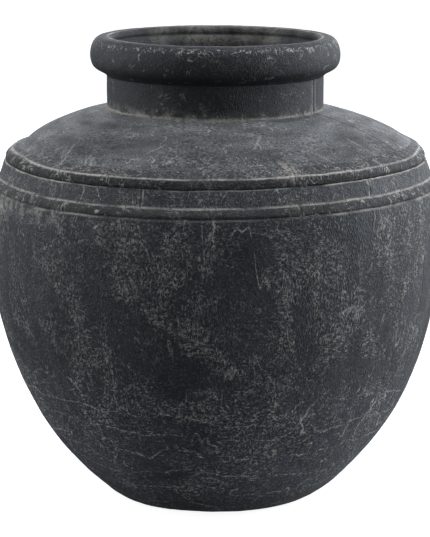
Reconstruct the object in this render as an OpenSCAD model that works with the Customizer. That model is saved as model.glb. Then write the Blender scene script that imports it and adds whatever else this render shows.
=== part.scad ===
// Black clay pot: a round body on a small flat base, a banded shoulder, a short neck and a rolled rim.
// Each module is one piece of clay, as it was before the pieces were luted together and fired.
// Millimetres. +Z is up, and the origin is the centre of the base, on the floor.
// Azimuths are in degrees from the front (-Y), and positive towards +X.

/* [Body] */
// Widest diameter of the belly
belly_d = 350; // [344:1:356]
// Height of the widest line of the belly
belly_z = 208; // [204:1:212]
// Diameter of the base, where the lines of wall and floor would meet
base_d = 165.6; // [160:0.2:172]
// Lean of the wall as it leaves the base, from vertical
base_lean = 52; // [50:1:54]
// Thickness of the wall
wall_t = 9; // [8:0.5:10]
// Thickness of the base
base_t = 12; // [10:1:13]

/* [Shoulder] */
// Diameter of the belly at its top edge, under the lower rib
break_d = 344.6; // [342:0.2:348]
// Height of the top edge of the belly
break_z = 239.5; // [238:0.5:241]
// Diameter of the line where the dome of the shoulder meets the upper rib
dome_d = 300; // [298:1:302]
// Height of the line where the dome meets the upper rib
dome_z = 273.8; // [273:0.2:275]
// Fall of the dome at that line, below horizontal
dome_fall = 38; // [36:1:40]

/* [Bands] */
// Thickness of the flat strap that lies between the two ribs
strap_t = 4; // [3:0.5:4.5]
// Height of the line where the lower rib and the strap meet
strap_low_z = 247; // [246:0.5:248]
// Height of the line where the strap and the upper rib meet
strap_high_z = 259.2; // [258.4:0.2:260.4]
// Ledge left at the foot of each rib, on the edge below it
ledge = 1.4; // [0.8:0.2:2]

/* [Neck and rim] */
// Outer diameter of the neck
neck_d = 166; // [164:1:168]
// Height of the line where the neck leaves the shoulder
neck_z = 299.4; // [298.4:0.2:300.4]
// Thickness of the neck
neck_t = 8; // [7:0.5:9]
// Height of the line where the rim roll sits on the neck
roll_z = 324; // [322:1:326]
// Widest diameter of the rim roll
roll_d = 191; // [187:1:195]
// Total height of the pot
total_h = 354; // [352:1:356]
// Diameter of the inner edge of the mouth
mouth_d = 157; // [155:1:159]

/* [Hidden] */
$fn = 96;

// Azimuths of the vertical seams of the body, where its front and back slabs meet
SEAMS = [-117, 63];
// Azimuths where the lengths of each band meet, with the first again after a full turn
UPPER_RIB_JOINS = [-66, 21, 110, 200, 294];
STRAP_JOINS = [-19, 43, 118, 192, 266, 341];
LOWER_RIB_JOINS = [-40, 21, 96, 171, 245, 320];

BLACK = "#35373a";
GREY = "#5c5f64";
DUSTY = "#7b7d80";

belly_r = belly_d / 2;
base_r = base_d / 2;
break_r = break_d / 2;
dome_r = dome_d / 2;
neck_r = neck_d / 2;
bore_r = neck_r - neck_t;
roll_r = roll_d / 2;
mouth_r = mouth_d / 2;

// Curves are cubic, in the half section [radius, height].
function mix(a, b, t) = a + (b - a) * t;
function at(c, t) =
    pow(1 - t, 3) * c[0] + 3 * pow(1 - t, 2) * t * c[1] + 3 * (1 - t) * t * t * c[2] + pow(t, 3) * c[3];
function along(c, t) =
    pow(1 - t, 2) * (c[1] - c[0]) + 2 * (1 - t) * t * (c[2] - c[1]) + t * t * (c[3] - c[2]);
function inside(c, t) =
    let (d = along(c, t)) at(c, t) + wall_t * [-d[1], d[0]] / norm(d);
function outer_run(c, t0, t1, n) = [for (i = [0:n]) at(c, mix(t0, t1, i / n))];
function inner_run(c, t0, t1, n) = [for (i = [0:n]) inside(c, mix(t0, t1, i / n))];
function back_run(c, t0, t1, n) = [for (i = [0:n]) at(c, mix(t1, t0, i / n))];
// The point a distance d from p, along a line that leans outward from vertical
function step(p, lean, d) = p + d * [sin(lean), cos(lean)];

// The belly, from the floor line to its widest line, and from there to its top edge
BELLY = [
    [base_r, 0],
    step([base_r, 0], base_lean, 105),
    [belly_r, belly_z - 42],
    [belly_r, belly_z]
];
UPPER_BELLY = [
    [belly_r, belly_z],
    [belly_r, belly_z + 12],
    step([break_r, break_z], 170, 11),
    [break_r, break_z]
];
// The dome of the shoulder, from the upper rib to the neck
DOME = [
    [dome_r, dome_z],
    step([dome_r, dome_z], dome_fall - 90, 21),
    step([neck_r, neck_z], 98, 21),
    [neck_r, neck_z]
];
// The inside of the shoulder, from the widest line up past the bands, and on to the neck
INNER_BREAK = [
    inside(BELLY, 1),
    inside(BELLY, 1) + [0, 14],
    step(inside(DOME, 0), 90 + dome_fall, 12),
    inside(DOME, 0)
];
INNER_DOME = [
    inside(DOME, 0),
    step(inside(DOME, 0), dome_fall - 90, 19),
    [neck_r + 16, neck_z - wall_t],
    [neck_r - 3.5, neck_z - wall_t]
];

// Fractions of the curves at which the pieces meet
BASE_END = 0.06;
BOWL_END = 0.34;
BOWL_BEVEL = 0.36;
BREAK_INNER = 0.45;

// Corners that two or more pieces share
rebate = [break_r - 8, break_z + 1.7];
wall_low = [break_r - 10, strap_low_z];
wall_high = [break_r - 14.5, strap_high_z];
wall_shelf = [break_r - 17.5, strap_high_z + 6.8];
strap_low = wall_low + [strap_t, -0.3];
strap_high = wall_high + [strap_t, 0];
rib_foot = [break_r - ledge, break_z + 0.3];
neck_inner_z = neck_z - wall_t;
groove = 1.5;

module turned(outline, from = 0, to = 360) {
    rotate([0, 0, from - 90])
        rotate_extrude(angle = to - from)
            polygon(outline);
}

// The flat bottom, pressed as a shallow plate whose edge turns up into the wall
module base_disc() {
    toe = 4.3;
    edge = [[base_r - toe, 0], [base_r - toe / 3, 0], [base_r, 0.6], at(BELLY, 0.02)];
    floor_edge = [[0.8 * base_r, base_t], [base_r - 4, base_t], [base_r, base_t + 2], inside(BELLY, BASE_END)];
    color(BLACK)
        turned(concat(
            [[0, 0]],
            outer_run(edge, 0, 1, 4),
            outer_run(BELLY, 0.03, BASE_END, 2),
            back_run(floor_edge, 0, 1, 4),
            [[0, base_t]]
        ));
}

// The lower wall, one slab up to the smoothed joint a hand's width above the floor
module lower_bowl() {
    color(BLACK)
        turned(concat(
            outer_run(BELLY, BASE_END, BOWL_END, 8),
            [for (i = [0:8]) inside(BELLY, mix(BOWL_BEVEL, BASE_END, i / 8))]
        ));
}

// The belly wall, whose top edge is rebated inside to seat the shoulder
module belly_half(from, to) {
    turned(concat(
        outer_run(BELLY, BOWL_END, 1, 14),
        outer_run(UPPER_BELLY, 0.2, 0.96, 4),
        [rib_foot, rebate],
        back_run(INNER_BREAK, 0, BREAK_INNER, 4),
        [for (i = [1:14]) inside(BELLY, mix(1, BOWL_BEVEL, i / 14))]
    ), from, to);
}

module belly_front() {
    color(BLACK) belly_half(SEAMS[0], SEAMS[1]);
}

module belly_back() {
    color(BLACK) belly_half(SEAMS[1], SEAMS[0] + 360);
}

// The shoulder, which seats in the rebate of the belly and backs the bands
module shoulder_half(from, to) {
    turned(concat(
        [rebate, wall_low, wall_high, wall_shelf],
        outer_run(DOME, 0, 1, 12),
        back_run(INNER_DOME, 0, 1, 12),
        back_run(INNER_BREAK, BREAK_INNER, 0.9, 5)
    ), from, to);
}

module shoulder_front() {
    color(GREY) shoulder_half(SEAMS[0], SEAMS[1]);
}

module shoulder_back() {
    color(GREY) shoulder_half(SEAMS[1], SEAMS[0] + 360);
}

// The neck, bevelled onto the shoulder and chamfered inside under the rim
module neck_half(from, to) {
    foot = [[neck_r - 3.5, neck_inner_z], [bore_r + 1, neck_inner_z], [bore_r, neck_z - 7], [bore_r, neck_z - 3]];
    turned(concat(
        [[neck_r, neck_z], [neck_r, roll_z], [bore_r + groove, roll_z]],
        [[bore_r, roll_z - groove]],
        back_run(foot, 0, 1, 4)
    ), from, to);
}

module neck_front() {
    color(BLACK) neck_half(SEAMS[0], SEAMS[1]);
}

module neck_back() {
    color(BLACK) neck_half(SEAMS[1], SEAMS[0] + 360);
}

// The rim, one thick coil folded out and pressed down to a broad top
module rim_roll() {
    widest = [roll_r, total_h - 13.4];
    crown = [mouth_r + 8, total_h];
    under = [[neck_r, roll_z], [neck_r + 3.5, roll_z + 4.4], widest - [0, 11], widest];
    over = [widest, widest + [0, 4.2], crown + [6.8, 0], crown];
    lip = [crown, crown - [5, 0], [mouth_r, total_h - 0.6], [mouth_r, total_h - 3]];
    throat = [[mouth_r, total_h - 3], [mouth_r, total_h - 8], [bore_r, total_h - 8], [bore_r, total_h - 15]];
    color(BLACK)
        turned(concat(
            outer_run(under, 0, 1, 7),
            outer_run(over, 0.2, 1, 5),
            outer_run(lip, 0.25, 1, 3),
            outer_run(throat, 0.25, 1, 4),
            [[bore_r, roll_z + groove], [bore_r + groove, roll_z]]
        ));
}

// One length of the upper rib, a coil pressed onto the edge of the dome
module upper_rib(i) {
    foot = strap_high - [ledge, 0];
    arris = [break_r - 12.8, strap_high_z + 7.8];
    face = [foot, foot + [1.4, 2.2], arris + [1, -2.6], arris];
    top = [arris, arris + [-2.6, 1.4], step([dome_r, dome_z], 90 + dome_fall, 3), [dome_r, dome_z]];
    color(DUSTY)
        turned(concat(
            [wall_high],
            outer_run(face, 0, 1, 5),
            outer_run(top, 0.25, 1, 4),
            [wall_shelf]
        ), UPPER_RIB_JOINS[i - 1], UPPER_RIB_JOINS[i]);
}

// One length of the flat strap between the ribs
module strap(i) {
    color(GREY)
        turned([wall_low, strap_low, strap_high, wall_high], STRAP_JOINS[i - 1], STRAP_JOINS[i]);
}

// One length of the lower rib, a coil laid along the top edge of the belly
module lower_rib(i) {
    arris = strap_low + [0.6, -0.4];
    face = [rib_foot, rib_foot + [0.9, 1.9], arris + [1.6, -1.9], arris];
    color(DUSTY)
        turned(concat(
            [rebate],
            outer_run(face, 0, 1, 6),
            [strap_low, wall_low]
        ), LOWER_RIB_JOINS[i - 1], LOWER_RIB_JOINS[i]);
}

base_disc();
lower_bowl();
belly_front();
belly_back();
shoulder_front();
shoulder_back();
neck_front();
neck_back();
rim_roll();
for (i = [1:len(UPPER_RIB_JOINS) - 1])
    upper_rib(i);
for (i = [1:len(STRAP_JOINS) - 1])
    strap(i);
for (i = [1:len(LOWER_RIB_JOINS) - 1])
    lower_rib(i);
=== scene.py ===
import itertools
import math
import re

import bpy
import numpy as np
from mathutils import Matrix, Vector


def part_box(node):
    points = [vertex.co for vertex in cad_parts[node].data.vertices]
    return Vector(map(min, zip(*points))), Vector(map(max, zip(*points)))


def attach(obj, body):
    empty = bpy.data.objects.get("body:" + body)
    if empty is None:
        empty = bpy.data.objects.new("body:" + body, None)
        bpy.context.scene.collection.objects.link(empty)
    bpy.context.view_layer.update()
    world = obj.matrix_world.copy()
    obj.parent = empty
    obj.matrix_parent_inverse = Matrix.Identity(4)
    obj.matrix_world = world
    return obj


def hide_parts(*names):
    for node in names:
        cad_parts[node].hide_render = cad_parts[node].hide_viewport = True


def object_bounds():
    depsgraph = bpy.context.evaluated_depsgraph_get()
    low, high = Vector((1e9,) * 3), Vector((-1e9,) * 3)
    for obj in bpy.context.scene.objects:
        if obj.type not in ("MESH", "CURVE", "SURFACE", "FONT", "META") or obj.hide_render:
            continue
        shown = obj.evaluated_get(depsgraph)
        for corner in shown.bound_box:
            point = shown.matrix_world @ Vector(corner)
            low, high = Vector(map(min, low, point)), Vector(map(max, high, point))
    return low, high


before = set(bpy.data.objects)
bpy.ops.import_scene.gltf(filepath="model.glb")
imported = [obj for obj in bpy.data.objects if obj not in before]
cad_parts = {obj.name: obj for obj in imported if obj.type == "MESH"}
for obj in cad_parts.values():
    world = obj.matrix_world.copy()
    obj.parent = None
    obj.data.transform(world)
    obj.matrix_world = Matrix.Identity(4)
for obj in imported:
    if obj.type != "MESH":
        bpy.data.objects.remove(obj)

CAD_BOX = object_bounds()
MM = 0.001

WIDEST = CAD_BOX[1].x
HEIGHT = CAD_BOX[1].z
BODY = "root"


# ---------------- noise

def smooth(edge0, edge1, x):
    """0 below edge0 and 1 above edge1, with a smooth step between; edge1 may be the lower one."""
    t = np.clip((x - edge0) / (edge1 - edge0), 0.0, 1.0)
    return t * t * (3.0 - 2.0 * t)


def bump(x, centre, width):
    """A bell of height 1 that has fallen to 1/e at width from its centre."""
    return np.exp(-((x - centre) / width) ** 2)


def turn(az, centre):
    """The signed way round from centre to az, in degrees, from -180 to 180."""
    return (az - centre + 180.0) % 360.0 - 180.0


def plateau(zone, x):
    """1 in the middle of a zone, which is given as where it starts to rise, is full, starts to fall and is over."""
    return smooth(zone[0], zone[1], x) * (1 - smooth(zone[2], zone[3], x))


NOISE_CELLS = 256
NOISE_GAIN = 1.6
SEED_SHIFT = 17.31
_random = np.random.default_rng(11)
SHUFFLE = np.concatenate([_random.permutation(NOISE_CELLS)] * 3)
GRADIENTS = _random.normal(size=(NOISE_CELLS, 3))
GRADIENTS /= np.linalg.norm(GRADIENTS, axis=1)[:, None]


def noise(p, seed=0):
    """Gradient noise of points (n, 3), about -1 to 1."""
    p = p + seed * SEED_SHIFT
    cell = np.floor(p).astype(int)
    f = p - cell
    u = f * f * f * (f * (f * 6.0 - 15.0) + 10.0)
    total = np.zeros(len(p))
    for corner in itertools.product((0, 1), repeat=3):
        h = 0
        for axis in range(3):
            h = SHUFFLE[h + (cell[:, axis] + corner[axis]) % NOISE_CELLS]
        weight = np.abs(1 - np.array(corner) - u)
        total += ((f - corner) * GRADIENTS[h]).sum(1) * (weight[:, 0] * weight[:, 1] * weight[:, 2])
    return total * NOISE_GAIN


def fractal(p, size, octaves=3, stretch=(1, 1, 1), seed=0):
    """Layered noise whose largest features are about size millimetres, drawn out along each axis by stretch."""
    q = p / (size * MM * np.array(stretch, float))
    total, gain = np.zeros(len(p)), 1.0
    for i in range(octaves):
        total += gain * noise(q * 2.0 ** i, seed + i)
        gain *= 0.5
    return total


# ---------------- half sections, from the frame

ON_AXIS = 1e-5    # a corner nearer to the axis than this lies on it
SAME = 2e-5    # corners nearer to each other than this are one
SAME_AZIMUTH = 0.02
ON_WAY = 0.001    # how far past an edge's ends a corner may lie, in parts of the edge
OPEN_GAP = 15.0    # a piece with no gap between its corners as wide as this goes all the way round
WHOLE_TURN = 359.0


def mesh_arrays(node):
    """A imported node's corners (n, 3) and its triangles' corner numbers."""
    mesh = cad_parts[node].data
    co = np.zeros(len(mesh.vertices) * 3)
    mesh.vertices.foreach_get("co", co)
    mesh.calc_loop_triangles()
    tri = np.zeros(len(mesh.loop_triangles) * 3, int)
    mesh.loop_triangles.foreach_get("vertices", tri)
    return co.reshape(-1, 3), tri.reshape(-1, 3)


def ends_of(azimuth):
    """First and last azimuth of a piece: (0, 360) for a whole turn."""
    around = np.unique(np.round(azimuth % 360.0, 3))
    gaps = np.diff(np.append(around, around[0] + 360.0))
    widest = int(np.argmax(gaps))
    if gaps[widest] < OPEN_GAP:
        return 0.0, 360.0
    first = around[(widest + 1) % len(around)]
    last = around[widest]
    return first, last if last > first else last + 360.0


def chained(edges):
    """The corner numbers in order, from unordered pairs, and whether they close."""
    links = {}
    for a, b in edges:
        links.setdefault(a, []).append(b)
        links.setdefault(b, []).append(a)
    loose = [k for k, v in links.items() if len(v) == 1]
    order = [min(loose) if loose else min(links)]
    came = None
    while True:
        onward = [n for n in links[order[-1]] if n != came]
        if not onward or (len(order) > 2 and onward[0] == order[0]):
            break
        came = order[-1]
        order.append(onward[0])
    return order, not loose


def half_section(node):
    """A node's half section as corners (radius, height), anticlockwise, and its first and last azimuth."""
    co, triangles = mesh_arrays(node)
    radius = np.hypot(co[:, 0], co[:, 1])
    azimuth = np.degrees(np.arctan2(co[:, 0], -co[:, 1]))
    off_axis = radius > ON_AXIS
    first, last = ends_of(azimuth[off_axis])
    on_plane = ~off_axis | (np.abs(turn(azimuth, first)) < SAME_AZIMUTH)
    corners, number = [], {}
    for i in np.flatnonzero(on_plane):
        p = np.array([radius[i], co[i, 2]])
        near = [k for k, q in enumerate(corners) if np.abs(p - q).max() < SAME]
        if not near:
            corners.append(p)
        number[i] = near[0] if near else len(corners) - 1
    whole = last - first > WHOLE_TURN
    counts = {}
    for t in triangles:
        flat = all(on_plane[v] for v in t)
        for a, b in ((t[0], t[1]), (t[1], t[2]), (t[2], t[0])):
            if on_plane[a] and on_plane[b] and (flat or whole) and number[a] != number[b]:
                key = tuple(sorted((number[a], number[b])))
                counts[key] = counts.get(key, 0) + 1
    edges = [k for k, n in counts.items() if whole or n == 1]
    order, closed = chained(edges)
    points = [corners[i] for i in order]
    if not closed:
        for end in (0, -1):
            if points[end][0] > ON_AXIS:
                on_line = np.array([0.0, points[end][1]])
                points = [on_line] + points if end == 0 else points + [on_line]
    points = np.array(points)
    x, z = points[:, 0], points[:, 1]
    area = (x * np.roll(z, -1) - np.roll(x, -1) * z).sum()
    return (points if area > 0 else points[::-1]), first, last


def stem_of(node):
    """The name that alike pieces share, such as belly for belly_front and upper_rib for upper_rib_3."""
    return re.sub(r"_(front|back|[0-9]+)$", "", node)


def on_edge(p, a, b):
    """Where p lies along the edge a-b, from 0 to 1, or None if it isn't on it."""
    edge = b - a
    t = float(np.dot(p - a, edge) / np.dot(edge, edge))
    close = np.abs(a + np.clip(t, 0, 1) * edge - p).max() < SAME
    return t if close and -ON_WAY < t < 1 + ON_WAY else None


def with_neighbours(points, others):
    """The section with its neighbours' corners added to its edges, and for each edge whether it is a joint face."""
    full = []
    for a, b in zip(points, np.roll(points, -1, axis=0)):
        if np.abs(a - b).max() < SAME:
            continue
        cuts = [0.0]
        for q in np.vstack(others):
            t = on_edge(q, a, b)
            if t is not None and 0.01 < t < 0.99:
                cuts.append(t)
        full += [a + t * (b - a) for t in sorted(set(np.round(cuts, 5)))]
    full = np.array(full)
    joint = []
    for a, b in zip(full, np.roll(full, -1, axis=0)):
        middle = (a + b) / 2
        touching = [
            on_edge(middle, c, d) is not None
            for other in others for c, d in zip(other, np.roll(other, -1, axis=0))
        ]
        joint.append(any(touching))
    return full, np.array(joint)


def stretches(points, joint):
    """The section as stretches of corners, each all skin or all joint face. A face on the axis is left out."""
    count = len(points)
    axis_edge = [points[i][0] < ON_AXIS and points[(i + 1) % count][0] < ON_AXIS for i in range(count)]
    start = next(i for i in range(count) if axis_edge[i - 1] or (not any(axis_edge) and joint[i] != joint[i - 1]))
    found = []
    for k in range(count):
        i = (start + k) % count
        if axis_edge[i]:
            continue
        if found and found[-1][1] == joint[i]:
            found[-1][0].append(points[(i + 1) % count])
        else:
            found.append(([points[i], points[(i + 1) % count]], joint[i]))
    return [(np.array(p), is_joint) for p, is_joint in found], any(axis_edge)


# ---------------- fine sections

SHARP = math.cos(math.radians(33))    # edges that turn by more than this meet in a crisp corner
SAMPLE = 0.1 * MM
FINEST = 0.35 * MM    # the step along and round a piece right beside a crisp corner or an end
CRISP_REACH = (0.6 * MM, 5 * MM)    # how far from a crisp corner the step starts to grow and has grown
END_REACH = (0.5 * MM, 6 * MM)    # the same for the ends of a length of clay
SOFTENED = 1.2 * MM    # how far from a crisp corner the curve is softened

# Skin belongs to the inside of the pot when its normal points to the axis, or up from the floor.
FACES_AXIS = -0.02
FACES_UP = 0.9
FLOOR_BELOW = 0.1 * HEIGHT
MOSTLY = 0.6    # a stretch with more inside than this takes coarse steps

# Steps along the section and round the pot, in millimetres.
SKIN_STEP = {"base_disc": 1.6, "lower_bowl": 1.4, "belly": 1.35, "shoulder": 1.1, "neck": 1.0, "rim_roll": 1.0}
COLUMN_STEP = {"base_disc": 2.0, "lower_bowl": 1.45, "belly": 1.35, "shoulder": 1.15, "neck": 1.0, "rim_roll": 1.1}
BAND_STEP = 0.6
BAND_COLUMN = 0.7
JOINT_STEP = 3.0
MOUTH_STEP = 2.0
HIDDEN_STEP = 6.0

NECK_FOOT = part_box("neck_front")[0].z


def fine_curve(points, step_at, ends_fine):
    """A smooth curve through the corners, kept crisp at sharp ones, sampled more closely beside them."""
    edges = np.diff(points, axis=0)
    length = np.linalg.norm(edges, axis=1)
    heading = edges / length[:, None]
    station = np.concatenate([[0.0], np.cumsum(length)])
    crisp = [0.0, station[-1]] if ends_fine else []
    into, out = heading.copy(), heading.copy()
    for i in range(1, len(points) - 1):
        if np.dot(heading[i - 1], heading[i]) < SHARP:
            crisp.append(station[i])
            continue
        mean = (heading[i - 1] * length[i] + heading[i] * length[i - 1]) / (length[i - 1] + length[i])
        out[i], into[i - 1] = mean, mean
    grid = np.linspace(0.0, station[-1], max(40, int(station[-1] / SAMPLE)))
    near = np.min([np.abs(grid - c) for c in crisp], axis=0) if crisp else np.full(len(grid), 1.0)
    middle = np.array([np.interp(grid, station, points[:, k]) for k in (0, 1)]).T
    step = step_at(middle)
    step = np.minimum(step, FINEST + (step - FINEST) * smooth(*CRISP_REACH, near))
    tally = np.concatenate([[0.0], np.cumsum(np.diff(grid) / step[1:])])
    wanted = np.linspace(0.0, tally[-1], int(math.ceil(tally[-1])) + 1)
    at = np.interp(wanted, tally, grid)
    k = np.clip(np.searchsorted(station, at, side="right") - 1, 0, len(length) - 1)
    t = ((at - station[k]) / length[k])[:, None]
    scale = length[k][:, None]
    curve = (
        (2 * t ** 3 - 3 * t ** 2 + 1) * points[k] + (t ** 3 - 2 * t ** 2 + t) * scale * out[k]
        + (3 * t ** 2 - 2 * t ** 3) * points[k + 1] + (t ** 3 - t ** 2) * scale * into[k]
    )
    near = np.min([np.abs(at - c) for c in crisp], axis=0) if crisp else np.full(len(at), 1.0)
    soften = (near < SOFTENED)[1:-1, None]
    for _ in range(2):
        blurred = (curve[:-2] + 2 * curve[1:-1] + curve[2:]) / 4
        curve[1:-1] = np.where(soften, blurred, curve[1:-1])
    return curve, at, station[-1]


def inward(curve, normal):
    """True on the skin that faces the inside of the pot."""
    on_floor = (normal[:, 1] > FACES_UP) & (curve[:, 1] < FLOOR_BELOW)
    return (normal[:, 0] < FACES_AXIS) | on_floor


def normals_of(curve):
    """Unit normals (radius, height) that point out of the clay."""
    d = np.gradient(curve, axis=0)
    return np.column_stack([d[:, 1], -d[:, 0]]) / (np.linalg.norm(d, axis=1)[:, None] + 1e-12)


def fine_section(stem, pieces):
    """The whole section of a piece in fine steps: positions, normals, and marks for what each point is."""
    rows = {key: [] for key in ("point", "normal", "skin", "inside", "edge")}
    for corners, is_joint in pieces:
        if is_joint:
            curve = np.vstack([
                a + (b - a) * np.linspace(0, 1, max(2, int(np.linalg.norm(b - a) / (JOINT_STEP * MM)) + 1))[:-1, None]
                for a, b in zip(corners, corners[1:])
            ])
            rows["point"].append(curve)
            rows["normal"].append(np.zeros((len(curve), 2)))
            for key in ("skin", "inside", "edge"):
                rows[key].append(np.zeros(len(curve)))
            continue
        facing = inward(corners[:-1] + 0.5 * np.diff(corners, axis=0), normals_of(corners)[:-1])
        mostly_inside = facing.mean() > MOSTLY

        def step_at(p):
            own = SKIN_STEP.get(stem, BAND_STEP)
            if mostly_inside:
                own = MOUTH_STEP if corners[:, 1].max() > NECK_FOOT else HIDDEN_STEP
            return np.full(len(p), own * MM)

        curve, station, total = fine_curve(corners, step_at, not mostly_inside)
        normal = normals_of(curve)
        inside = inward(curve, normal).astype(float)
        edge = np.minimum(station, total - station)
        for key, value in zip(rows, (curve, normal, np.ones(len(curve)), inside, edge)):
            rows[key].append(value[:-1])
    return {key: np.concatenate(value) for key, value in rows.items()}


# Alike pieces share one section; each keeps its own first and last azimuth.
SECTIONS = {}
ENDS = {}
for name in sorted(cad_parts):
    corners, first, last = half_section(name)
    ENDS[name] = (first, last)
    SECTIONS.setdefault(stem_of(name), corners)

FINE = {}
for stem, corners in SECTIONS.items():
    others = [c for other, c in SECTIONS.items() if other != stem]
    full, joint = with_neighbours(corners, others)
    pieces, open_on_axis = stretches(full, joint)
    FINE[stem] = (fine_section(stem, pieces), open_on_axis)


# ---------------- the hand-built shape

def joint_height(lower, upper):
    """The height of the ring where two pieces' skins meet, found on both sections."""
    a, b = SECTIONS[lower], SECTIONS[upper]
    shared = [p for p in a for q in b if np.abs(p - q).max() < SAME]
    return max(shared, key=lambda p: p[0])


SHOULDER_JOINT = joint_height("shoulder", "neck")
BOWL_JOINT = joint_height("lower_bowl", "belly")
STRAP_TOP_JOINT = joint_height("strap", "upper_rib")
STRAP_LOW_JOINT = joint_height("strap", "lower_rib")
RIB_FOOT_JOINT = joint_height("lower_rib", "belly")
STRAP_EDGE = max((p for p in SECTIONS["strap"] if abs(p[1] - STRAP_TOP_JOINT[1]) < MM), key=lambda p: p[0])
SHARP_FOLD = 48.0
HAIR = 0.02 * MM
LIP_GROOVE = (78.0 * MM, HEIGHT - 6.2 * MM)
ROLL_BULGE = (92.0 * MM, 331.5 * MM)
BANDS = ("upper_rib", "strap", "lower_rib")
ARRIS = (159.4, 266.8)    # the upper rib's outer edge: radius and height in millimetres

# Heights between which a slow movement of the clay fades in and out.
BAND_ZONE = (205 * MM, 243 * MM, 268 * MM, 296 * MM)
SHOULDER_ZONE = (262 * MM, 297 * MM, 300 * MM, 324 * MM)
RIM_ZONE = (318 * MM, 340 * MM)
FOOT_ZONE = (2 * MM, 25 * MM)

# How far the bands wander up and down on their way round: azimuth and millimetres.
BAND_WANDER = [
    (-180, 0.0), (-110, 1.0), (-70, 1.2), (-48, -0.5), (0, -0.4),
    (18, 0.7), (45, 1.6), (65, 2.2), (110, 1.5), (180, 0.0),
]

# How far the foot is from round: azimuth and millimetres outwards.
FOOT_PLAN = [
    (-180, 0.3), (-120, -0.4), (-90, -1.2), (-65, -2.0), (-33, 1.6), (0, 0.6),
    (33, 1.2), (65, -1.9), (90, -1.4), (120, -0.4), (180, 0.3),
]


def wander(az, table=BAND_WANDER):
    """A listed movement at any azimuth, in metres, with its corners smoothed over about 8 degrees."""
    at, by = zip(*table)
    fine = np.arange(-180.0, 180.0, 1.0)
    value = np.interp(fine, at, by)
    kernel = bump(np.arange(-20, 21), 0, 8.0)
    value = np.convolve(np.concatenate([value] * 3), kernel / kernel.sum(), "same")[360:720]
    return np.interp(turn(az, 0.0), fine, value, period=360.0) * MM


def point_at(r, az, z):
    """Points (n, 3) from their radius, azimuth and height."""
    a = np.radians(az)
    return np.column_stack([r * np.sin(a), -r * np.cos(a), z])


def shifted(r, az, z):
    """The slow unevenness of the whole pot, the same for every piece, so that neighbours still meet."""
    p = point_at(r, az, z)
    bands = plateau(BAND_ZONE, z)
    rim = smooth(*RIM_ZONE, z)
    above_foot = smooth(*FOOT_ZONE, z)
    to_right = np.sin(np.radians(az))
    left = 0.5 - 0.5 * to_right

    # Up and down: the bands wander, the shoulder leans and sinks, and the rim sags.
    lift = wander(az) * bands + (0.8 * left - 1.0) * MM * plateau(SHOULDER_ZONE, z)
    lift -= 1.2 * MM * bump(z, 281 * MM, 9 * MM) + (0.9 + 2.6 * left ** 2) * MM * bump(z, 275 * MM, 5 * MM)
    lift += 1.8 * MM * fractal(p, 60, 2, seed=3) * bump(z, BOWL_JOINT[1], 18 * MM)
    lift += 0.35 * MM * fractal(p, 25, 2, seed=5) * bands
    lift -= (0.28 * (1 + to_right) + 0.08 * (1 + np.clip(fractal(p, 50, 1, seed=8), -1, 1))) * MM * rim

    # In and out, without moving what lies on the axis.
    out = 0.45 * MM * np.clip(fractal(p, 150, 2, seed=1), -1, 1) * above_foot
    out -= 0.5 * MM * bump(z, 205 * MM, 70 * MM) + 0.7 * MM * bump(z, 24 * MM, 15 * MM)
    out += wander(az, FOOT_PLAN) * bump(z, 0.0, 11 * MM)
    out += 0.4 * MM * fractal(p, 55, 1, seed=12) * rim

    # Sideways, and round the pot.
    sway = 0.9 * bump(z, 75 * MM, 60 * MM) + 0.3 * bump(z, 25 * MM, 16 * MM) + 0.6 * bump(z, 10 * MM, 6 * MM)
    sway = (sway - 0.8 * bump(z, 0.0, 4 * MM)) * MM
    slew = 1.2 * MM * fractal(p, 22, 2, (1, 1, 0.5), seed=21) * (bands + 0.4 * above_foot * (1 - bands)) / WIDEST
    moved = point_at(r + out * smooth(0.0, 40 * MM, r), az + np.degrees(slew), z + lift)
    moved[:, 0] += sway * smooth(0.0, 30 * MM, r)
    return moved


def relief(p, stem, z):
    """Height of the clay's own surface over the slow shape: paddle marks, drag marks and grain."""
    low = 1 - smooth(70 * MM, 120 * MM, z)
    h = 0.26 * fractal(p, 42, 2, seed=31) + 0.10 * fractal(p, 13, 2, seed=34)
    drag = fractal(p, 3.2, 2, (1, 1, 4.5), seed=41)
    wipe = fractal(p, 9, 2, (1, 1, 0.22), seed=47)
    grain = fractal(p, 3.4, 2, seed=53)
    if stem in BANDS:
        cut = fractal(p, 5.5, 2, (1, 1, 0.6), seed=61)
        squeeze = fractal(p, 15, 2, (1, 1, 0.7), seed=65)
        return (0.6 * h + 0.20 * cut + 0.22 * squeeze + 0.05 * grain) * MM
    if stem in ("belly", "lower_bowl", "base_disc"):
        return (h + 0.055 * drag * (1 - low) + 0.07 * wipe * low + 0.05 * grain) * MM
    if stem == "shoulder":
        return (0.8 * h + 0.05 * wipe + 0.035 * grain) * MM
    return (0.7 * h + 0.05 * wipe + 0.05 * grain) * MM


def columns_of(stem, first, last, radius):
    """Azimuths round a piece: closer beside the ends of one that isn't a whole turn."""
    step = COLUMN_STEP.get(stem, BAND_COLUMN) * MM
    arc = math.radians(last - first) * radius
    if last - first > WHOLE_TURN:
        return np.linspace(first, last, int(arc / step) + 1)[:-1], True
    grid = np.linspace(0, arc, int(arc / SAMPLE))
    near = np.minimum(grid, arc - grid)
    own = np.minimum(step, FINEST + (step - FINEST) * smooth(*END_REACH, near))
    tally = np.concatenate([[0.0], np.cumsum(np.diff(grid) / own[1:])])
    at = np.interp(np.linspace(0, tally[-1], int(math.ceil(tally[-1])) + 1), tally, grid)
    return first + np.degrees(at / radius), False


def presence(p, size, level, seed):
    """0 to 1: how much of a broken line is there, in stretches of about size millimetres."""
    return smooth(level - 0.18, level + 0.18, 0.5 + 0.5 * fractal(p, size, 2, seed=seed))


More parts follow.
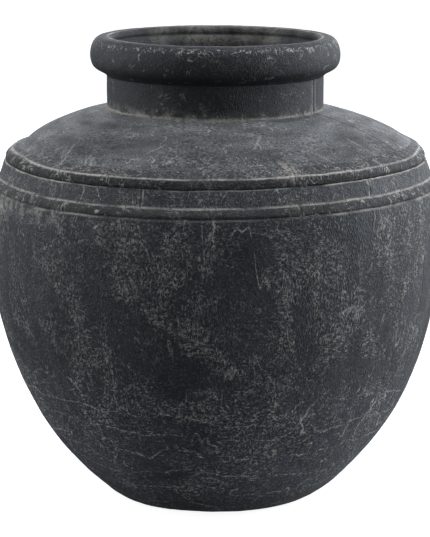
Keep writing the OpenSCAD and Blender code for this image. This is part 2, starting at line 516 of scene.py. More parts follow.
def rounded(az):
    """How far the arris of the upper rib is worn round, by azimuth."""
    return np.maximum(smooth(-44, -72, turn(az, 0)), 0.8 * smooth(62, 80, turn(az, 0)))


def surface_height(stem, p, r, az, z, grab, end_gap, whole, outside):
    """How far the surface stands out: the clay's relief, the grooves at the joins and the worn edges."""
    shown_inside = grab["skin"] * grab["inside"] * smooth(NECK_FOOT, NECK_FOOT + 12 * MM, z)
    height = relief(p, stem, z) * (outside + 0.5 * shown_inside)
    if stem in BANDS:
        # Each length of coil is pressed down at its end, and swells a little before it.
        height *= smooth(0.0, 1.0 * MM, grab["edge"])
        height -= 0.30 * MM * bump(end_gap, 0.0, 0.8 * MM) * outside
        height += 0.28 * MM * bump(end_gap, 3.0 * MM, 2.0 * MM) * outside
        height -= 0.10 * MM * bump(grab["edge"], 0.0, 0.7 * MM) * outside
        if stem == "upper_rib":
            corner = np.hypot(r - ARRIS[0] * MM, z - ARRIS[1] * MM)
            height -= 0.9 * MM * bump(corner, 0.0, 1.8 * MM) * rounded(az) * outside
    elif stem == "rim_roll":
        for (r0, z0), width, by in ((ROLL_BULGE, 5 * MM, 0.8 * MM), (LIP_GROOVE, 0.9 * MM, -0.7 * MM)):
            height += by * np.exp(-((r - r0) ** 2 + (z - z0) ** 2) / width ** 2)
    elif not whole:
        depth = 0.32 if stem == "neck" else 0.14
        height -= depth * MM * bump(end_gap, 0.0, 0.8 * MM) * outside
    return height


def faces_of(rows, cols, whole, on_axis):
    """Corner numbers of a piece's faces. Corners are numbered row by row, each row a ring or part of one.

    A piece on the axis has its first and last row there, and a centre point below and above, numbered last.
    """
    index = np.arange(rows * cols).reshape(rows, cols)
    here = index if whole else index[:, :-1]
    across = np.roll(index, -1, axis=1) if whole else index[:, 1:]
    quads = []
    for i in range(1, rows - 2) if on_axis else range(rows):
        j = (i + 1) % rows
        quads.append(np.column_stack([here[i], across[i], across[j], here[j]]))
    polygons = [tuple(q) for q in np.vstack(quads).tolist()]
    if on_axis:
        for ring, centre, way in ((index[1], rows * cols, 1), (index[-2], rows * cols + 1, -1)):
            fan = np.column_stack([np.full(cols, centre), np.roll(ring, -1), ring])[:, ::way]
            polygons += [tuple(t) for t in fan.tolist()]
    if not whole:
        polygons.append(tuple(index[::-1, 0].tolist()))
        polygons.append(tuple(index[:, -1].tolist()))
    return polygons


def placed(name, data):
    """A new object in the scene."""
    thing = bpy.data.objects.new(name, data)
    bpy.context.scene.collection.objects.link(thing)
    return thing


def swept(node):
    """The piece's mesh in full detail: a closed solid with one grid of skin, joint faces and inside."""
    stem = stem_of(node)
    section, on_axis = FINE[stem]
    first, last = ENDS[node]
    rz = section["point"]
    around, whole = columns_of(stem, first, last, rz[:, 0].max())
    rows, cols = len(rz), len(around)
    r, z = np.repeat(rz[:, 0], cols), np.repeat(rz[:, 1], cols)
    nr, nz = np.repeat(section["normal"][:, 0], cols), np.repeat(section["normal"][:, 1], cols)
    az = np.tile(around, rows)
    grab = {key: np.repeat(section[key], cols) for key in ("skin", "inside", "edge")}
    outside = grab["skin"] * (1 - grab["inside"])
    end_gap = np.full(len(r), 1.0)
    if not whole:
        end_gap = np.minimum(az - first, last - az) * math.pi / 180.0 * r

    p = point_at(r, az, z)
    moved = shifted(r, az, z)
    height = surface_height(stem, p, r, az, z, grab, end_gap, whole, outside)
    a = np.radians(az)
    moved[:, 0] += height * nr * np.sin(a)
    moved[:, 1] -= height * nr * np.cos(a)
    moved[:, 2] += height * nz
    reach = np.hypot(moved[:, 0], moved[:, 1])
    limit = np.minimum(1.0, (WIDEST - HAIR) / np.maximum(reach, 1e-6))
    moved[:, 0] *= limit
    moved[:, 1] *= limit
    moved[:, 2] = np.clip(moved[:, 2], 0.0, HEIGHT)
    if stem == "base_disc":
        moved[z < HAIR, 2] = 0.0
    marks = surface_marks(stem, p, r, az, z, grab, end_gap, outside)
    if on_axis:
        moved = np.vstack([moved, [[0.0, 0.0, 0.0], [0.0, 0.0, moved[-cols:, 2].mean()]]])
        marks = {key: np.append(value, [0.0, 0.0]) for key, value in marks.items()}

    polygons = faces_of(rows, cols, whole, on_axis)
    used = np.zeros(len(moved), bool)
    used[[corner for polygon in polygons for corner in polygon]] = True
    renumber = np.cumsum(used) - 1
    mesh = bpy.data.meshes.new(node + "_clay")
    mesh.from_pydata(moved[used].tolist(), [], [tuple(renumber[list(q)].tolist()) for q in polygons])
    mesh.validate()
    mesh.shade_smooth()
    mesh.set_sharp_from_angle(angle=math.radians(SHARP_FOLD))
    for key, value in marks.items():
        layer = mesh.attributes.new(key, "FLOAT", "POINT")
        layer.data.foreach_set("value", np.clip(value[used], 0.0, 1.0).astype(np.float32))
    return placed(node + "_clay", mesh)


# ---------------- where the marks lie

TONE_RANGE = 2.0    # the tone that the mark of that name holds as 1

# Patches that were rubbed smooth: azimuth, height, half width, half height (mm) and tilt (degrees).
RUBBED = [
    (-11, 131, 50, 25, -36), (-31, 200, 9, 34, 4), (-47, 178, 15, 15, 0), (9, 217, 15, 12, 0),
    (-20, 42, 30, 8, 0), (40, 118, 32, 13, -8), (-76, 218, 18, 26, 0), (22, 160, 10, 30, 8),
    (68, 170, 16, 34, -6), (112, 150, 42, 26, 22), (158, 196, 26, 38, -12), (-150, 126, 46, 27, 14),
    (-108, 70, 36, 14, -6), (150, 58, 34, 12, 5), (-125, 205, 12, 30, 3), (-60, 288, 26, 6, 0),
    (70, 286, 34, 7, 0), (12, 311, 24, 9, 0), (-25, 312, 14, 9, 0), (135, 310, 30, 9, 0),
]

# Patches that kept their pale crust, given the same way.
CRUSTED = [
    (-7, 156, 46, 11, -41), (14, 190, 12, 12, 0), (-22, 196, 14, 18, 10), (-42, 214, 13, 20, 0),
    (46, 214, 30, 20, 0), (-58, 150, 24, 12, -30), (28, 205, 12, 18, 4), (6, 92, 60, 9, -6),
    (98, 205, 24, 22, 10), (150, 140, 30, 14, -28), (-172, 190, 22, 28, 0), (-128, 178, 26, 16, 20),
    (-95, 120, 30, 12, -12),
]

# Long scratches over the shoulder: azimuth and radius (mm) where each begins and ends.
SCRATCHED = [
    (49.0, 126, 53.0, 151), (55.0, 138, 57.5, 154), (70.0, 143, 73.5, 156), (-50.5, 133, -48.0, 152),
    (-38.5, 142, -36.0, 155), (17.0, 112, 12.0, 132), (-16.0, 124, -22.0, 138), (31.0, 138, 35.5, 152),
    (104.0, 120, 110.0, 148), (168.0, 130, 163.0, 152), (-140.0, 116, -132.0, 140), (-96.0, 132, -99.0, 153),
]


def within(patches, az, r, z, ragged):
    """0 to 1: how far inside one of the listed patches a point lies. ragged moves a patch's edge in and out."""
    inside = np.zeros(len(r))
    for at, high, wide, tall, tilt in patches:
        u = np.radians(turn(az, at)) * r / MM
        v = z / MM - high
        c, k = math.cos(math.radians(tilt)), math.sin(math.radians(tilt))
        away = np.hypot((u * c + v * k) / wide, (v * c - u * k) / tall) + ragged
        inside = np.maximum(inside, 1 - smooth(0.80, 1.12, away))
    return inside


def band_lines(p, r, az, z, near):
    """The pale lines along the bands' edges, as wash, and the silt and smudge beside them, as dust."""
    side = turn(az, 0)
    inset = 3.6 * rounded(az)
    arris = near(ARRIS[0] - inset, ARRIS[1] + 0.55 * inset, 0.72 + 0.12 * inset + 0.30 * smooth(-20, -60, side))
    arris *= 0.55 + 0.45 * presence(p, 34, 0.40, 71)
    strap_line = near(STRAP_EDGE[0] / MM, STRAP_EDGE[1] / MM, 0.75)
    often = np.maximum(smooth(-36, -46, side), smooth(24, 30, side) * smooth(100, 80, side))
    strap_line *= np.maximum(0.5 * presence(p, 30, 0.56, 73), often * presence(p, 14, 0.34, 74))
    low_line = near(STRAP_LOW_JOINT[0] / MM, STRAP_LOW_JOINT[1] / MM, 0.70)
    low_line *= np.maximum(0.30 + 0.70 * presence(p, 26, 0.38, 79), 0.9 * smooth(24, 34, side))
    foot_line = near(RIB_FOOT_JOINT[0] / MM + 1.2, RIB_FOOT_JOINT[1] / MM - 0.4, 1.0)
    foot_line *= np.maximum(presence(p, 22, 0.54, 81), bump(side, 41.0, 8.0))
    foot_line *= 1 - 0.75 * smooth(-34, -24, side) * smooth(25, 19, side)
    wash = np.maximum.reduce([arris, 0.9 * strap_line, low_line, 0.6 * foot_line])
    smudge = bump(side, 19.0, 3.0) * smooth(140 * MM, 148 * MM, r) * presence(p, 4, 0.48, 96)
    silted = bump(z, RIB_FOOT_JOINT[1] - 4 * MM, 6 * MM) * smooth(-34, -48, side) * presence(p, 7, 0.50, 94)
    smudge *= 0.12 * smooth(238 * MM, 246 * MM, z) + 0.50 * smooth(264 * MM, 266.5 * MM, z)
    return wash, 0.5 * silted + smudge


def rim_marks(p, r, z, off_front, near):
    """Wash, scratches and tone of the rim: a pale line on its lip, made stronger where it faces the camera as a
    painted highlight, a scratched outer edge, painted light on its flat top and painted shade below.
    """
    facing = 1 - smooth(95, 130, off_front)
    # The lip line is made stronger where it faces the camera: painted highlight.
    lip = near(82.0, 353.8, 0.9) * (0.35 + 0.65 * presence(p, 20, 0.4, 83)) * (0.25 + 0.75 * facing)
    edge = np.exp(-(((r - 92.8 * MM) / (3.4 * MM)) ** 2 + ((z - 350.4 * MM) / (2.6 * MM)) ** 2))
    along_edge = edge * (0.70 + 0.30 * presence(p, 13, 0.45, 84))
    scratch = np.maximum(along_edge, 0.60 * presence(p, 8, 0.73, 88))
    # Lighter on the flat top and darker below it: painted light and painted shade.
    facet = smooth(347.5 * MM, 351 * MM, z) * smooth(79 * MM, 83 * MM, r)
    under = smooth(342 * MM, 330 * MM, z)
    tone = 1.0 + 0.85 * facet - 0.55 * under
    inner = 1 - smooth(80.0 * MM, 81.5 * MM, r)
    return 0.8 * lip, scratch, np.where(inner > 0.5, 0.8, tone)


def shoulder_marks(p, r, az, side):
    """The shoulder's pale front, long scratches, short scratches and tone, with painted sheen towards its left and
    right sides.
    """
    smears = fractal(point_at(100 * MM, az, 3.0 * r), 38, 3, seed=121)
    pale_front = smooth(118 * MM, 98 * MM, r) * bump(side, -12.0, 32.0)
    tone = 1.0 + 0.40 * smooth(108 * MM, 88 * MM, r) + 0.80 * smears + 0.10 * bump(side, 0.0, 30.0)
    tone += 0.32 * pale_front
    # Lighter on the outer shoulder towards its left and right sides: painted sheen from the side lamps.
    tone += 0.22 * smooth(136 * MM, 157 * MM, r) * smooth(28, 60, np.abs(side))
    scratch = 0.7 * presence(p, 13, 0.62, 122) * smooth(128 * MM, 146 * MM, r)
    long_lines = np.zeros(len(r))
    for az_0, r_0, az_1, r_1 in SCRATCHED:
        along = (r / MM - r_0) / (r_1 - r_0)
        off = np.abs(turn(az, az_0 + (az_1 - az_0) * along)) * np.radians(r)
        line = bump(off, 0.0, 0.55 * MM) * smooth(0.0, 0.1, along) * smooth(1.0, 0.9, along)
        long_lines = np.maximum(long_lines, line)
    return pale_front, long_lines, scratch, tone


def band_tone_and_shade(stem, p, r, side, z):
    """How light a band is, with painted shade: the upper rib's face is darker than its top and its lower half darker
    still, the strap is darker just under the upper rib, and the lower rib is darker on its underside.
    """
    worn = 0.5 + 0.5 * fractal(p, 9, 2, seed=124)
    flank = smooth(14, 40, np.abs(side))
    if stem == "upper_rib":
        # Upper rib: darker on the face below the arris and more on its lower half: painted shade under the rib's
        # edge.
        face = smooth(158.4 * MM, 160.0 * MM, r)
        shaded_lower_half = smooth(265.5 * MM, 261.5 * MM, z)
        return 1.0 - (0.34 + 0.30 * flank + 0.14 * worn) * face - 0.12 * shaded_lower_half * (0.5 + 0.5 * worn)
    if stem == "strap":
        # Strap: darker just under the upper rib: painted shadow of the rib.
        return 1.0 + 0.14 * bump(side, -18.0, 40.0) - 0.35 * bump(z, STRAP_TOP_JOINT[1], 1.3 * MM) * worn
    tone = 0.37 - 0.05 * flank - 0.14 * bump(side, 27.0, 13.0) + 0.35 * bump(z, STRAP_LOW_JOINT[1], 1.5 * MM)
    # Lower rib: darker on its underside: painted shadow under the rib.
    tone -= 0.48 * smooth(244.5 * MM, 241.5 * MM, z) * (0.3 + 0.7 * worn)
    tone += 0.24 * presence(p, 18, 0.58, 125) + 0.32 * bump(side, 14.0, 7.0) * smooth(244 * MM, 248 * MM, z)
    return tone


def surface_marks(stem, p, r, az, z, grab, end_gap, outside):
    """Where the pale wash, dust, scratches and cracks lie, how light each part is, painted light and shade included,
    and which way its marks run.
    """
    ragged = 0.5 * fractal(p, 5, 2, seed=70)
    side = turn(az, 0)
    off_front = np.abs(side)

    def near(r0, z0, width):
        """A ragged line of this width round the pot at a radius and height, all in millimetres."""
        aside = np.hypot(r - r0 * MM, z - z0 * MM) / (width * MM)
        return np.exp(-np.maximum(0.0, aside + ragged * 0.8) ** 2)

    wash, dust, crack, scratch, rub, stand, lie = np.zeros((7, len(r)))
    patch = 0.5 + 0.5 * fractal(p, 48, 3, (1, 1, 1.5), seed=101)
    if stem in ("rim_roll", "neck", "shoulder"):
        patch *= 0.6
    tone = np.ones(len(r))

    if stem in BANDS + ("shoulder", "belly"):
        wash, dust = band_lines(p, r, az, z, near)
    if stem == "rim_roll":
        wash, scratch, tone = rim_marks(p, r, z, off_front, near)

    # Dust where the neck meets the shoulder.
    if stem in ("neck", "shoulder"):
        foot = np.hypot(r - SHOULDER_JOINT[0], z - SHOULDER_JOINT[1])
        spread = fractal(p, 9, 2, seed=91)
        line = 1.4 * bump(foot, 0.0, 1.2 * MM) * (0.55 + 0.45 * presence(p, 7, 0.40, 92))
        line += (0.35 + 0.50 * smooth(0, -35, side)) * bump(foot, 0.0, 5.0 * MM) * (0.4 + 1.1 * spread)
        dust = np.maximum(dust, line * outside * (0.75 + 0.25 * smooth(10, -30, side)))
    if stem == "neck":
        # Darker towards the top, under the rim: painted shade.
        tone = 0.62 + 0.22 * smooth(316 * MM, 308 * MM, z) + 0.50 * smooth(307 * MM, 300 * MM, z)
        scratch = 0.55 * smooth(309 * MM, 302 * MM, z) * presence(p, 12, 0.50, 86)
        scratch += 0.4 * presence(p, 11, 0.70, 87)
    if stem == "shoulder":
        pale_front, long_lines, scratch, tone = shoulder_marks(p, r, az, side)
        dust = np.maximum(dust, 0.13 * pale_front)
        wash = np.maximum(wash, 0.42 * long_lines)

    # Silt inside the mouth at the back, and shade at its front.
    if stem in ("neck", "rim_roll"):
        behind = smooth(118, 150, np.abs(turn(az, -8)))
        silt = 0.45 * grab["inside"] * (0.5 + 0.7 * fractal(p, 16, 4, (1, 1, 3.2), seed=93)) * behind
        dust = np.maximum(dust, silt)
        tone = tone * (1 - 0.35 * grab["inside"] * (1 - behind))

    # Cracks where pieces of clay meet.
    if stem in BANDS:
        crack = 0.7 * bump(end_gap, 0.0, 0.45 * MM) * outside * presence(p, 9, 0.45, 99)
        pale_end = 0.55 * bump(end_gap, 1.3 * MM, 0.8 * MM) * presence(p, 6, 0.5, 98)
        wash = np.maximum(wash, pale_end)
        scratch = (0.45 if stem == "strap" else 0.85) * presence(p, 13, 0.46, 95)
        scratch *= 0.35 + 0.65 * smooth(14, 30, off_front)
    elif stem == "rim_roll":
        crack = 0.9 * near(LIP_GROOVE[0] / MM, LIP_GROOVE[1] / MM, 0.9)
    elif stem in ("belly", "shoulder", "neck"):
        crack = bump(end_gap, 0.0, 0.75 * MM) * outside * (0.45 + 0.55 * presence(p, 30, 0.45, 97))
        if stem == "neck":
            crack = bump(end_gap, 0.0, 0.8 * MM) * outside
            # A pale line beside the neck's seam: painted highlight on the seam's edge.
            wash = 0.30 * bump(end_gap, 2.6 * MM, 0.8 * MM) * presence(p, 8, 0.4, 100)

    # How light the pieces are, with painted shade under the ribs and near the floor and painted light at the sides
    # low down, and which way the drag marks run.
    if stem in BANDS:
        tone = band_tone_and_shade(stem, p, r, side, z)
    if stem == "belly":
        worn = 0.5 + 0.5 * fractal(p, 9, 2, seed=124)
        # Darker in a thin band just under the lower rib: painted shadow of the rib.
        tone = 1.0 - 0.55 * bump(z, RIB_FOOT_JOINT[1], 2.0 * MM) * worn + 0.35 * bump(z, 233 * MM, 4 * MM) * worn
        wiped = fractal(p, 12, 3, (1, 1, 7.0), seed=128) * smooth(14, 44, off_front)
        wiped *= 1 - 0.45 * smooth(80, 110, off_front)
        tone += 0.42 * wiped + 0.22 * bump(z, 231 * MM, 8 * MM) * smooth(-34, -48, side)
        patch += 0.28 * wiped
    if stem in ("belly", "lower_bowl", "base_disc"):
        low = smooth(128 * MM, 96 * MM, z + 8 * MM * fractal(p, 60, 2, seed=126))
        stand = 0.5 * (1 - low)
        lie = 0.6 * low
        scratch = 0.30 * presence(p, 26, 0.52, 127)
        # Darker towards the floor: painted contact shade. Lighter low down, where the slip lines lie, and lighter
        # still towards the left and right sides: painted light from the side lamps.
        floor_shade = 0.34 + 0.66 * smooth(2 * MM, 27 * MM, z) + 0.20 * bump(z, 42 * MM, 16 * MM)
        tone = tone * floor_shade * (1 + (0.42 + 0.50 * np.abs(np.sin(np.radians(az)))) * low)
    elif stem == "strap":
        stand += 0.4
    else:
        lie += 0.2
    if stem in ("belly", "lower_bowl", "shoulder", "neck"):
        rim_of_patch = 0.45 * fractal(p, 20, 4, seed=111)
        crust = within(CRUSTED, az, r, z, rim_of_patch)
        patch = patch * (1 - crust) + 0.73 * crust
        rub = 0.85 * within(RUBBED, az, r, z, rim_of_patch) * (1 - crust)
    rub *= outside
    if stem != "rim_roll":
        wash *= outside
    scratch *= outside
    return dict(
        wash=wash, dust=dust, crack=crack, scratch=scratch, rub=rub, stand=stand, lie=lie, patch=patch,
        tone=tone / TONE_RANGE,
    )


# ---------------- the clay's look

class Graph:
    """Short names for shader nodes. An input is a number, a colour, a vector or another node's socket."""

    def __init__(self, tree):
        self.tree = tree

    def fill(self, node, inputs):
        """Gives a node its inputs, a dictionary by name or number."""
        for key, value in inputs.items():
            if isinstance(value, bpy.types.NodeSocket):
                self.tree.links.new(value, node.inputs[key])
            else:
                node.inputs[key].default_value = value

    def new(self, kind, inputs=(), **settings):
        """A new node with these settings and inputs, which may also be a list in the node's own order."""
        node = self.tree.nodes.new("ShaderNode" + kind)
        for name, value in settings.items():
            setattr(node, name, value)
        self.fill(node, inputs if isinstance(inputs, dict) else dict(enumerate(inputs)))
        return node

    def math(self, operation, *values):
        return self.new("Math", values, operation=operation).outputs[0]

    def add(self, a, b):
        return self.math("ADD", a, b)

    def mul(self, a, b, *more):
        out = self.math("MULTIPLY", a, b)
        for value in more:
            out = self.math("MULTIPLY", out, value)
        return out

    def step(self, value, low, high, to_low=0.0, to_high=1.0):
        """to_low up to low and to_high from high on, with a smooth step between."""
        values = (value, low, high, to_low, to_high)
        return self.new("MapRange", values, interpolation_type="SMOOTHSTEP").outputs[0]

    def noise(self, vector, size, detail=2.0, rough=0.5, warp=0.0):
        """Noise from 0 to 1 whose largest features are about size metres."""
        inputs = {"Vector": vector, "Scale": 1.0 / size, "Detail": detail, "Roughness": rough, "Distortion": warp}
        return self.new("TexNoise", inputs).outputs[0]

    def scaled(self, vector, upward=1.0, shift=(0, 0, 0)):
        """The vector with its height scaled, so that under 1 draws features out upright, and over 1 flattens them."""
        return self.new("Mapping", {"Vector": vector, "Location": shift, "Scale": (1, 1, upward)}).outputs[0]

    def mix(self, factor, a, b, blend="MIX"):
        return self.new("Mix", {0: factor, 6: a, 7: b}, data_type="RGBA", blend_type=blend).outputs[2]

    def mark(self, name):
        """One of the marks that surface_marks leaves on the mesh."""
        return self.new("Attribute", attribute_name=name).outputs["Fac"]

    def ridge(self, value, width):
        """A thin line wherever the value crosses its middle."""
        off = self.math("ABSOLUTE", self.math("SUBTRACT", value, 0.5))
        return self.step(off, 0.0, width, 1.0, 0.0)


BLACK = (0.0030, 0.0040, 0.0060, 1)
CHARCOAL = (0.0325, 0.0375, 0.0450, 1)
FLECK = (0.375, 0.361, 0.328, 1)
WASH = (0.64, 0.60, 0.530, 1)
DUST = (0.49, 0.45, 0.385, 1)
CRACK = (0.008, 0.008, 0.009, 1)

# Sizes of the features in the clay, from cloudy patches down to its grain.
BLOTCH, RUBBED_AREA, SLIP_SWING, SLIP_WAVE = 0.055, 0.062, 0.085, 0.014
SMEAR, WIPE, LEAN, TALL_LINE, LINES_HERE = 0.013, 0.022, 0.030, 0.026, 0.020
FLECKED, RELIEF, SQUIGGLE, SQUIGGLE_CUT = 0.012, 0.0075, 0.0062, 0.0060
ANY_WAY, UPRIGHT, LEVEL, GRIT, BROKEN = 0.00095, 0.00092, 0.0028, 0.0010, 0.0018
CURL, STRENGTH, DUST_GRAIN, WASH_EDGE = 0.0017, 0.0030, 0.0030, 0.0026

# How far a line of slip swings up and down, and how many edges of slip there are to a metre.
SLIP_SWING_BY, SLIP_WAVE_BY, SLIPS_PER_METRE = 0.048, 0.007, 58.0

# Height of the grain's features in metres.
FLECK_HIGH, GRIT_HIGH, DRAWN_HIGH = 0.00010, 0.00025, 0.00090
RELIEF_HIGH, LINE_DEEP, CRACK_DEEP = 0.0012, 0.00010, 0.0002


def shade(colour, by):
    """The colour made lighter by a factor, and greyer where it is made much lighter."""
    grey = sum(colour[:3]) / 3
    return tuple(by * (grey + (channel - grey) / max(1.0, by) ** 1.5) for channel in colour[:3]) + (1,)


def clay(name, grey=0.5, speckle=0.5, lined=1.0, pitted=1.0, gloss=0.61, by=1.0):
    """Black fired clay. grey makes more of it charcoal and by makes all of it lighter, speckle is how much pale
    fleck it holds, lined how much it is scratched, pitted how deep its grain is, and gloss its roughness. The
    marks stand and lie on the mesh say how far its drag marks run up and down, or round the pot."""
    black, charcoal, fleck = shade(BLACK, by), shade(CHARCOAL, by), shade(FLECK, 0.6 + 0.4 * by)
    material = bpy.data.materials.new(name)
    material.use_nodes = True
    g = Graph(material.node_tree)
    co = g.new("TexCoord").outputs["Object"]
    patch, stand, lie = g.mark("patch"), g.mark("stand"), g.mark("lie")

    blotch = g.noise(co, BLOTCH, 3.0, 0.6)
    smear = g.noise(g.scaled(co, 0.18), SMEAR, 3.0, 0.55, 0.4)
    wipe = g.noise(g.scaled(co, 4.0), WIPE, 3.0, 0.6, 0.3)
    streak = g.add(g.mul(smear, g.add(stand, 0.35)), g.mul(wipe, g.add(lie, 0.35)))
    streak = g.math("DIVIDE", streak, g.add(g.add(stand, lie), 0.70))
    tone = g.add(blotch, g.mul(streak, 0.9))

    # The marks of the drag lie upright, level or any way by patches.
    any_way = g.noise(co, ANY_WAY, 1.0, 0.5, 0.5)
    upright = g.noise(g.scaled(co, 0.36), UPRIGHT, 1.0, 0.5, 0.3)
    level = g.noise(g.scaled(co, 2.4), LEVEL, 2.0, 0.6, 0.3)
    lean = g.noise(g.scaled(co, 0.8, (0.4, 0.1, 0.2)), LEAN, 1.0)
    lean_up = g.math("MULTIPLY_ADD", stand, 0.2, lean)
    lean_flat = g.math("MULTIPLY_ADD", lie, -0.3, lean)
    drawn = g.mix(g.step(lean_up, 0.56, 0.64), any_way, upright)
    drawn = g.mix(g.step(lean_flat, 0.48, 0.40), drawn, level)

    # Some patches were rubbed smooth and dark.
    rub = g.noise(g.scaled(co, 0.75, (0.15, 0.55, 0.35)), RUBBED_AREA, 4.0, 0.55, 0.5)
    rubbed = g.math("MAXIMUM", g.mark("rub"), g.step(rub, 0.575, 0.620, 0.0, 0.8))

    fine = g.add(tone, g.mul(g.math("SUBTRACT", drawn, 0.5), g.step(rubbed, 0.0, 1.0, 3.0, 1.0)))
    fine = g.add(fine, g.mul(rubbed, -0.10))
    fine = g.step(fine, 0.56 - 0.3 * (grey - 0.5), 1.30 - 0.3 * (grey - 0.5))
    colour = g.mix(fine, black, charcoal)
    grit = g.noise(co, GRIT, 2.0, 0.7)
    colour = g.mix(g.step(grit, 0.46, 0.66, 0.0, 0.5), colour, charcoal)
    colour = g.mix(g.step(grit, 0.46, 0.30, 0.0, 0.6), colour, black)

    # Thin scratches and, low on the pot, the wavy edges of wiped-on slip, one above another.
    up = g.new("SeparateXYZ", (co,)).outputs[2]
    slow = g.noise(g.scaled(co, 1.5), SLIP_SWING, 2.0, 0.5)
    quick = g.noise(g.scaled(co, 1.5, (0.5, 0.1, 0.9)), SLIP_WAVE, 2.0, 0.6)
    slip = g.add(up, g.add(g.mul(slow, SLIP_SWING_BY), g.mul(quick, SLIP_WAVE_BY)))
    slip_edge = g.step(g.math("PINGPONG", g.mul(slip, SLIPS_PER_METRE), 0.5), 0.0, 0.045, 1.0, 0.0)
    tall_noise = g.noise(g.scaled(co, 0.20, (0.3, 0.6, 0.1)), TALL_LINE, 2.0, 0.6, 0.4)
    here = g.noise(g.scaled(co, 1.0, (0.7, 0.2, 0.4)), LINES_HERE, 2.0, 0.6)
    slip_lines = g.mul(slip_edge, g.step(g.math("MULTIPLY_ADD", lie, 0.12, here), 0.50, 0.59), lie, 1.45)
    tall_lines = g.mul(g.ridge(tall_noise, 0.011), g.step(here, 0.49, 0.41), 0.9)
    broken = g.noise(g.scaled(co, 1.0, (0.31, 0.17, 0.05)), BROKEN, 1.0, 0.5)
    lines = g.mul(g.add(g.mul(slip_lines, g.step(broken, 0.40, 0.52, 0.30, 1.0)), tall_lines), lined)

    # Pale grains and short curls left in the roughness: dense in patches, few where the clay is rubbed.
    where = g.add(g.mul(patch, 0.6), g.mul(g.noise(co, FLECKED, 3.0, 0.65), 0.75))
    where = g.add(where, g.mul(slip_edge, lie, 0.35))
    where = g.add(where, g.mul(g.math("SUBTRACT", smear, 0.5), stand, 1.1))
    where = g.step(where, 0.57 - 0.25 * speckle, 1.10 - 0.25 * speckle, 0.14, 1.0)
    where = g.mul(where, g.step(rubbed, 0.0, 1.0, 1.0, 0.15), g.math("MULTIPLY_ADD", lie, -0.45, 1.0))
    above = g.math("SUBTRACT", drawn, g.math("SUBTRACT", 0.655, g.mul(where, 0.085)))
    dashes = g.step(above, -0.002, 0.022)
    curl = g.ridge(g.noise(g.scaled(co, 0.8), CURL, 1.0, 0.5, 0.9), 0.100)
    curls = g.mul(curl, g.step(g.add(broken, g.mul(where, 0.16)), 0.57, 0.65))
    strength = g.step(g.noise(co, STRENGTH, 1.0), 0.34, 0.66, 0.2, 1.0)
    flecks = g.math("MAXIMUM", g.mul(dashes, 0.9), curls)
    pale = g.mul(flecks, strength, g.add(g.mul(where, 0.68), 0.21), 0.66 + 0.6 * speckle)
    beside = g.mul(g.step(above, -0.120, -0.050), g.step(above, -0.035, -0.005, 1.0, 0.0))
    colour = g.mix(g.mul(beside, g.step(where, 0.1, 0.7, 0.15, 0.75)), colour, black)
    colour = g.mix(pale, colour, fleck)
    colour = g.mix(g.mul(lines, g.step(grit, 0.40, 0.60, 0.05, 1.0)), colour, fleck)
    # The tone mark multiplies the colour; besides the clay's own tone it carries painted light and shade.
    full = (TONE_RANGE, TONE_RANGE, TONE_RANGE, 1)
    colour = g.mix(1.0, colour, g.mix(g.mark("tone"), (0, 0, 0, 1), full), "MULTIPLY")

    # Over it all: curly scratches, dust, pale wash and the cracks at the joins.
    squiggle = g.ridge(g.noise(g.scaled(co, 0.85, (0.2, 0.8, 0.6)), SQUIGGLE, 1.0, 0.5, 1.3), 0.042)
    cut_off = g.noise(g.scaled(co, 1.0, (0.9, 0.4, 0.7)), SQUIGGLE_CUT, 1.0, 0.5)
    squiggle = g.mul(squiggle, g.step(g.math("MULTIPLY_ADD", g.mark("scratch"), 0.20, cut_off), 0.56, 0.63))
    squiggle = g.mul(squiggle, g.mark("scratch"), 0.8)
    colour = g.mix(squiggle, colour, WASH)
    dust = g.mul(g.mark("dust"), g.step(g.noise(co, DUST_GRAIN, 3.0, 0.7, 0.4), 0.30, 0.52, 0.1, 1.0))
    colour = g.mix(g.mul(dust, 0.8), colour, DUST)
    rough_edge = g.step(g.noise(co, WASH_EDGE, 2.0, 0.6), 0.34, 0.52, 0.50, 1.0)
    wash = g.mul(g.mark("wash"), rough_edge)
    colour = g.mix(g.mul(wash, 0.95), colour, WASH)
    crack = g.mark("crack")
    colour = g.mix(g.mul(crack, 0.85), colour, CRACK)

    rough = g.add(g.mul(rubbed, -0.10), gloss)
    rough = g.add(rough, g.mul(g.math("MAXIMUM", pale, wash), 0.22))

    height = g.add(g.mul(flecks, FLECK_HIGH), g.mul(grit, GRIT_HIGH))
    height = g.add(height, g.mul(drawn, DRAWN_HIGH * pitted))
    height = g.add(height, g.mul(g.noise(co, RELIEF, 3.0, 0.6), RELIEF_HIGH * pitted))
    height = g.add(height, g.mul(g.add(lines, squiggle), -LINE_DEEP))
    height = g.add(height, g.mul(crack, -CRACK_DEEP))
    normal = g.new("Bump", {"Strength": 1.0, "Distance": 1.0, "Height": height}).outputs[0]
    g.fill(g.tree.nodes["Principled BSDF"], {
        "Base Color": colour, "Roughness": rough, "Specular IOR Level": 0.5, "Normal": normal,
    })
    return material


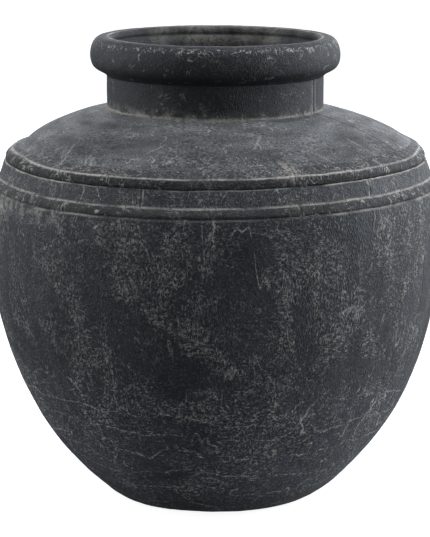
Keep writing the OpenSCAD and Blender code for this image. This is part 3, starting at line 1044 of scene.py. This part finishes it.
# Each piece's slot and how its clay looks.
LOOKS = {
    "base_disc": ("body_clay", dict(speckle=0.3)),
    "lower_bowl": ("body_clay", dict(speckle=0.4)),
    "belly": ("body_clay", dict(speckle=0.65)),
    # The shoulder's clay is made 3.5 times lighter: partly dust on its upward face, partly painted light from the
    # lamp above.
    "shoulder": ("shoulder_clay", dict(grey=0.65, speckle=0.08, lined=0.6, pitted=0.7, by=3.5)),
    "neck": ("neck_clay", dict(speckle=0.1, lined=0.15, pitted=0.6, by=0.62)),
    "rim_roll": ("neck_clay", dict(grey=0.4, speckle=0.1, lined=0.2, pitted=0.6, by=0.45)),
    "upper_rib": ("rib_clay", dict(speckle=0.6, by=1.5)),
    "lower_rib": ("rib_clay", dict(speckle=0.6, by=1.5)),
    "strap": ("strap_clay", dict(grey=0.6, speckle=0.3, by=1.7)),
}
materials = {stem: clay(stem + "_look", **settings) for stem, (_, settings) in LOOKS.items()}

for name in sorted(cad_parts):
    stem = stem_of(name)
    piece = swept(name)
    piece.data.materials.append(materials[stem])
    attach(piece, BODY)
    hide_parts(name)


# ---------------- floor, light and camera

FLOOR_REACH = 12.0
FLOOR_GREY = (0.5, 0.5, 0.5, 1)
FLOOR_GLOW = 0.9

corners = [(x * FLOOR_REACH, y * FLOOR_REACH, 0) for x, y in ((-1, -1), (1, -1), (1, 1), (-1, 1))]
floor_mesh = bpy.data.meshes.new("floor")
floor_mesh.from_pydata(corners, [], [(0, 1, 2, 3)])
floor = placed("floor", floor_mesh)
paper = bpy.data.materials.new("pale_floor")
paper.use_nodes = True
Graph(paper.node_tree).fill(paper.node_tree.nodes["Principled BSDF"], {
    "Base Color": FLOOR_GREY, "Roughness": 0.9, "Specular IOR Level": 0.1,
    "Emission Color": (1, 1, 1, 1), "Emission Strength": FLOOR_GLOW,
})
floor_mesh.materials.append(paper)
floor.visible_diffuse = False
floor.visible_glossy = False

COOL = (0.955, 0.99, 1.045)
COOLER = (0.93, 0.99, 1.07)


def softbox(name, azimuth, elevation, distance, size, power, tint=COOL):
    """An area light aimed at the middle of the pot."""
    light = bpy.data.lights.new(name, "AREA")
    light.shape = "RECTANGLE"
    light.size, light.size_y = size
    light.energy = power
    light.color = tint
    lamp = placed(name, light)
    a, e = math.radians(azimuth), math.radians(elevation)
    way = Vector((math.sin(a) * math.cos(e), -math.cos(a) * math.cos(e), math.sin(e)))
    lamp.location = Vector((0, 0, 0.55 * HEIGHT)) + way * distance
    lamp.rotation_euler = way.to_track_quat("Z", "Y").to_euler()


softbox("over", 0, 89, 1.5, (1.4, 1.4), 11.7)
softbox("right", 90, 20, 1.7, (0.8, 1.4), 10.3, COOLER)
softbox("right_back", 120, 20, 1.7, (0.8, 1.4), 9.8, COOLER)
softbox("left", -90, 20, 1.7, (0.8, 1.4), 9.8)
softbox("left_back", -120, 20, 1.7, (0.8, 1.4), 3.6)
softbox("back", 180, 15, 2.2, (2.0, 1.0), 15.2)

# The camera sees a white backdrop. The pot sees a dim one that is brighter to its right than to its left.
SKY = (0.95, 0.99, 1.06, 1)
SKY_RIGHT = 1.03
SKY_LEFT = 0.46
world = bpy.data.worlds.new("studio")
bpy.context.scene.world = world
world.use_nodes = True
g = Graph(world.node_tree)
backdrop = world.node_tree.nodes["Background"]
g.fill(backdrop, {"Color": (1, 1, 1, 1), "Strength": 1.0})
to_right = g.new("SeparateXYZ", (g.new("TexCoord").outputs["Generated"],)).outputs["X"]
strength = g.math("MAXIMUM", g.mul(to_right, SKY_RIGHT), g.mul(to_right, -SKY_LEFT))
dim = g.new("Background", {"Color": SKY, "Strength": strength})
seen = g.new("LightPath").outputs["Is Camera Ray"]
choose = g.new("MixShader", (seen, dim.outputs[0], backdrop.outputs[0]))
g.fill(world.node_tree.nodes["World Output"], {"Surface": choose.outputs[0]})

# The photograph's viewpoint, fitted to the pot's rings and outline.
FOCAL_LENGTH = 164.3    # millimetres, on a 36 mm frame
CAMERA_AT = (-0.0003, -1.872, 0.5305)
CAMERA_DOWN = 10.83
lens = bpy.data.cameras.new("camera")
lens.sensor_width = 36.0
lens.lens = FOCAL_LENGTH
lens.clip_end = 5 * FLOOR_REACH
camera = placed("camera", lens)
camera.location = CAMERA_AT
camera.rotation_euler = (math.radians(90 - CAMERA_DOWN), 0, 0)
bpy.context.scene.camera = camera
bpy.context.scene.view_settings.view_transform = "Standard"
